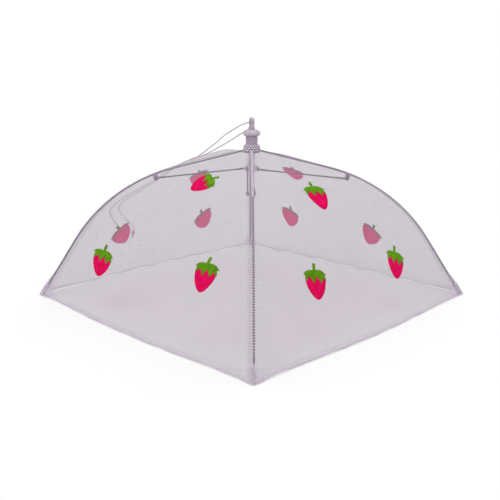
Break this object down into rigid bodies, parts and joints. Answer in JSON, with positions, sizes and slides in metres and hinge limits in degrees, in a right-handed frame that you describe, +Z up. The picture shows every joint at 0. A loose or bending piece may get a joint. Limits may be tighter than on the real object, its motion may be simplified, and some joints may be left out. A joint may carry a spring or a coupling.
{
  "type": "folding mesh food cover",
  "caption": "Square mesh dome that keeps flies off food: bent wire ribs hinged to a plastic hub, stretchers to a sliding runner, pull cord on top.",
  "frame": {"origin": "on the table under the hub, at the middle of the cover's footprint", "axes": "+Z up along the hub; the ribs point along -Y (front), +X, +Y and -X"},
  "size_m": [0.5054, 0.5054, 0.2089],
  "materials": {
    "plastic": "matte",
    "wire": "satin",
    "rivet_metal": "satin",
    "net": "matte",
    "cord": "matte"
  },
  "bodies": {
    "hub": {"hub_crown": "plastic", "hub_cap": "plastic", "finial": "plastic", "hub_tie_ring": "wire", "pull_cord_a": "cord", "pull_cord_b": "cord", "pull_knot": "cord"},
    "runner": {"runner": "plastic", "stop_knot": "cord", "draw_cord": "cord"},
    "rib_front": {"rib_front": "wire", "tip_cap_front": "plastic", "bracket_front": "plastic", "rivet_front": "rivet_metal"},
    "stretcher_front": {"stretcher_front": "wire"},
    "rib_right": {"rib_right": "wire", "tip_cap_right": "plastic", "bracket_right": "plastic", "rivet_right": "rivet_metal"},
    "stretcher_right": {"stretcher_right": "wire"},
    "rib_back": {"rib_back": "wire", "tip_cap_back": "plastic", "bracket_back": "plastic", "rivet_back": "rivet_metal"},
    "stretcher_back": {"stretcher_back": "wire"},
    "rib_left": {"rib_left": "wire", "tip_cap_left": "plastic", "bracket_left": "plastic", "rivet_left": "rivet_metal"},
    "stretcher_left": {"stretcher_left": "wire"},
    "flap_front_right": {"net_front_right": "net"},
    "flap_front_left": {"net_front_left": "net"},
    "flap_right_back": {"net_right_back": "net"},
    "flap_right_front": {"net_right_front": "net"},
    "flap_back_left": {"net_back_left": "net"},
    "flap_back_right": {"net_back_right": "net"},
    "flap_left_front": {"net_left_front": "net"},
    "flap_left_back": {"net_left_back": "net"}
  },
  "joints": [
    {"name": "fold", "type": "hinge", "parent": "hub", "child": "rib_front", "pos_m": [0, -0.008, 0.17191], "axis": [1, 0, 0], "range_deg": [0, 50]},
    {"name": "stretcher_front_hinge", "type": "hinge", "parent": "rib_front", "child": "stretcher_front", "pos_m": [0, -0.10949, 0.13965], "axis": [1, 0, 0], "range_deg": [-122.16, 0]},
    {"name": "rib_right_hinge", "type": "hinge", "parent": "hub", "child": "rib_right", "pos_m": [0.008, 0, 0.17191], "axis": [0, 1, 0], "range_deg": [0, 50]},
    {"name": "stretcher_right_hinge", "type": "hinge", "parent": "rib_right", "child": "stretcher_right", "pos_m": [0.10949, 0, 0.13965], "axis": [0, 1, 0], "range_deg": [-122.16, 0]},
    {"name": "rib_back_hinge", "type": "hinge", "parent": "hub", "child": "rib_back", "pos_m": [0, 0.008, 0.17191], "axis": [-1, 0, 0], "range_deg": [0, 50]},
    {"name": "stretcher_back_hinge", "type": "hinge", "parent": "rib_back", "child": "stretcher_back", "pos_m": [0, 0.10949, 0.13965], "axis": [-1, 0, 0], "range_deg": [-122.16, 0]},
    {"name": "rib_left_hinge", "type": "hinge", "parent": "hub", "child": "rib_left", "pos_m": [-0.008, 0, 0.17191], "axis": [0, -1, 0], "range_deg": [0, 50]},
    {"name": "stretcher_left_hinge", "type": "hinge", "parent": "rib_left", "child": "stretcher_left", "pos_m": [-0.10949, 0, 0.13965], "axis": [0, -1, 0], "range_deg": [-122.16, 0]},
    {"name": "runner_slide", "type": "slide", "parent": "hub", "child": "runner", "axis": [0, 0, -1], "range_m": [0, 0.1719], "deforming": ["draw_cord"]},
    {"name": "flap_front_right_hinge", "type": "hinge", "parent": "rib_front", "child": "flap_front_right", "pos_m": [0.008, -0.008, 0.17191], "axis": [-0.6606, 0.6804, -0.3173], "range_deg": [0, 34.78], "deforming": ["net_front_right"]},
    {"name": "flap_front_left_hinge", "type": "hinge", "parent": "rib_front", "child": "flap_front_left", "pos_m": [-0.008, -0.008, 0.17191], "axis": [-0.6606, -0.6804, 0.3173], "range_deg": [0, 34.78], "deforming": ["net_front_left"]},
    {"name": "flap_right_back_hinge", "type": "hinge", "parent": "rib_right", "child": "flap_right_back", "pos_m": [0.008, 0.008, 0.17191], "axis": [-0.6804, -0.6606, -0.3173], "range_deg": [0, 34.78], "deforming": ["net_right_back"]},
    {"name": "flap_right_front_hinge", "type": "hinge", "parent": "rib_right", "child": "flap_right_front", "pos_m": [0.008, -0.008, 0.17191], "axis": [0.6804, -0.6606, 0.3173], "range_deg": [0, 34.78], "deforming": ["net_right_front"]},
    {"name": "flap_back_left_hinge", "type": "hinge", "parent": "rib_back", "child": "flap_back_left", "pos_m": [-0.008, 0.008, 0.17191], "axis": [0.6606, -0.6804, -0.3173], "range_deg": [0, 34.78], "deforming": ["net_back_left"]},
    {"name": "flap_back_right_hinge", "type": "hinge", "parent": "rib_back", "child": "flap_back_right", "pos_m": [0.008, 0.008, 0.17191], "axis": [0.6606, 0.6804, 0.3173], "range_deg": [0, 34.78], "deforming": ["net_back_right"]},
    {"name": "flap_left_front_hinge", "type": "hinge", "parent": "rib_left", "child": "flap_left_front", "pos_m": [-0.008, -0.008, 0.17191], "axis": [0.6804, 0.6606, -0.3173], "range_deg": [0, 34.78], "deforming": ["net_left_front"]},
    {"name": "flap_left_back_hinge", "type": "hinge", "parent": "rib_left", "child": "flap_left_back", "pos_m": [-0.008, 0.008, 0.17191], "axis": [-0.6804, 0.6606, 0.3173], "range_deg": [0, 34.78], "deforming": ["net_left_back"]}
  ],
  "couplings": [
    {"joint": "stretcher_front_hinge", "follows": "fold", "ratio": -2.4431},
    {"joint": "rib_right_hinge", "follows": "fold", "ratio": 1},
    {"joint": "stretcher_right_hinge", "follows": "fold", "ratio": -2.4431},
    {"joint": "rib_back_hinge", "follows": "fold", "ratio": 1},
    {"joint": "stretcher_back_hinge", "follows": "fold", "ratio": -2.4431},
    {"joint": "rib_left_hinge", "follows": "fold", "ratio": 1},
    {"joint": "stretcher_left_hinge", "follows": "fold", "ratio": -2.4431},
    {"joint": "runner_slide", "follows": "fold", "m_per_rad": 0.19698},
    {"joint": "flap_front_right_hinge", "follows": "fold", "ratio": 0.69558},
    {"joint": "flap_front_left_hinge", "follows": "fold", "ratio": 0.69558},
    {"joint": "flap_right_back_hinge", "follows": "fold", "ratio": 0.69558},
    {"joint": "flap_right_front_hinge", "follows": "fold", "ratio": 0.69558},
    {"joint": "flap_back_left_hinge", "follows": "fold", "ratio": 0.69558},
    {"joint": "flap_back_right_hinge", "follows": "fold", "ratio": 0.69558},
    {"joint": "flap_left_front_hinge", "follows": "fold", "ratio": 0.69558},
    {"joint": "flap_left_back_hinge", "follows": "fold", "ratio": 0.69558}
  ]
}
